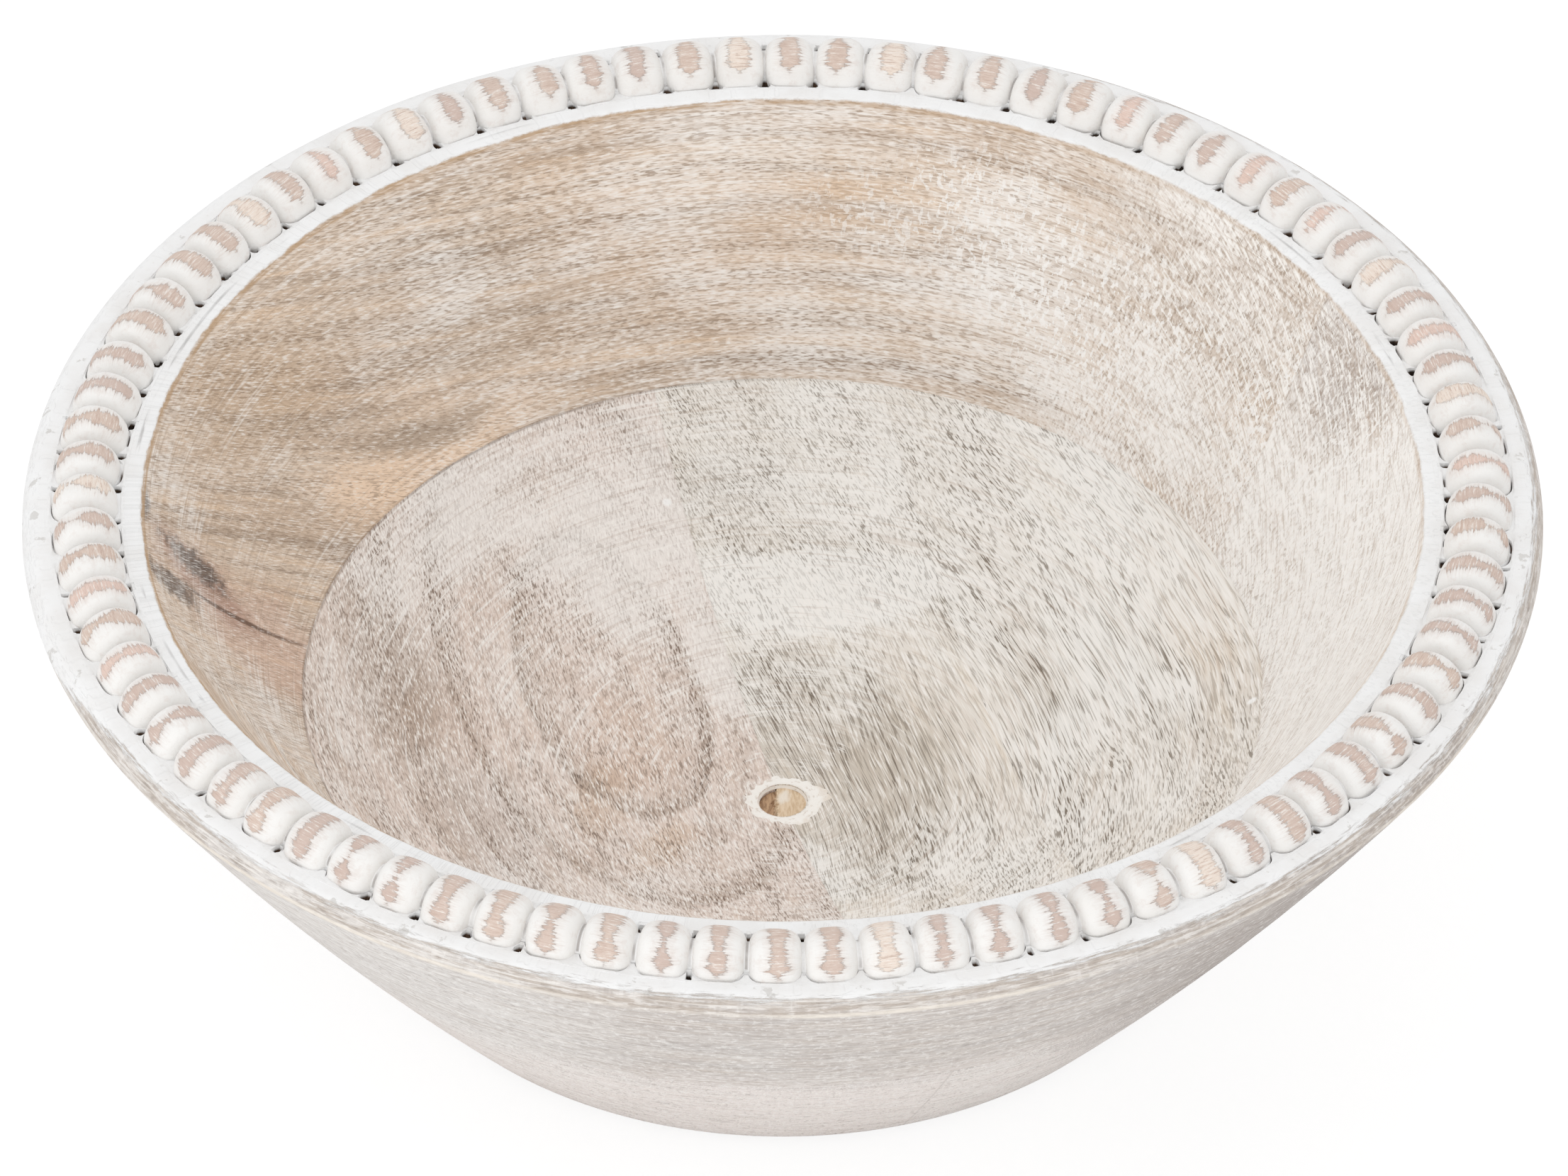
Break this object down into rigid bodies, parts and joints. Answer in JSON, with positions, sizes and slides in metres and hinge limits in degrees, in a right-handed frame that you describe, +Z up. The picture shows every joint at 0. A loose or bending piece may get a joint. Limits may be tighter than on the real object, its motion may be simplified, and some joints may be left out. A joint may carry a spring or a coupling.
{
  "type": "beaded dough bowl",
  "caption": "Round turned wooden bowl with sloping walls, a dished floor and a ring of wooden beads set in a groove in its rim, for dough, fruit or display.",
  "frame": {"origin": "centre of the flat base, where the bowl stands on the table", "axes": "+Z up along the turning axis, -Y towards the viewer of the picture, +X to the viewer's right"},
  "size_m": [0.304, 0.304, 0.102],
  "materials": {
    "wall_wood": "lime-washed, sanded, matt, with a white painted rim",
    "floor_wood": "lime-washed, sanded, matt",
    "plug_wood": "bare dowel end with filler",
    "bead_wood": "white chalky paint, sanded through on the crowns"
  },
  "bodies": {
    "root": {"wall_back": "wall_wood", "wall_front": "wall_wood", "floor_left": "floor_wood", "floor_middle": "floor_wood", "floor_right": "floor_wood", "centre_plug": "plug_wood", "beads_01": "bead_wood", "beads_02": "bead_wood", "beads_03": "bead_wood", "beads_04": "bead_wood", "beads_05": "bead_wood", "beads_06": "bead_wood", "beads_07": "bead_wood", "beads_08": "bead_wood", "beads_09": "bead_wood", "beads_10": "bead_wood", "beads_11": "bead_wood", "beads_12": "bead_wood", "beads_13": "bead_wood", "beads_14": "bead_wood", "beads_15": "bead_wood", "beads_16": "bead_wood", "beads_17": "bead_wood", "beads_18": "bead_wood", "beads_19": "bead_wood", "beads_20": "bead_wood", "beads_21": "bead_wood", "beads_22": "bead_wood", "beads_23": "bead_wood", "beads_24": "bead_wood", "beads_25": "bead_wood", "beads_26": "bead_wood", "beads_27": "bead_wood", "beads_28": "bead_wood", "beads_29": "bead_wood", "beads_30": "bead_wood", "beads_31": "bead_wood", "beads_32": "bead_wood", "beads_33": "bead_wood", "beads_34": "bead_wood", "beads_35": "bead_wood", "beads_36": "bead_wood", "beads_37": "bead_wood", "beads_38": "bead_wood", "beads_39": "bead_wood", "beads_40": "bead_wood", "beads_41": "bead_wood"}
  },
  "joints": []
}
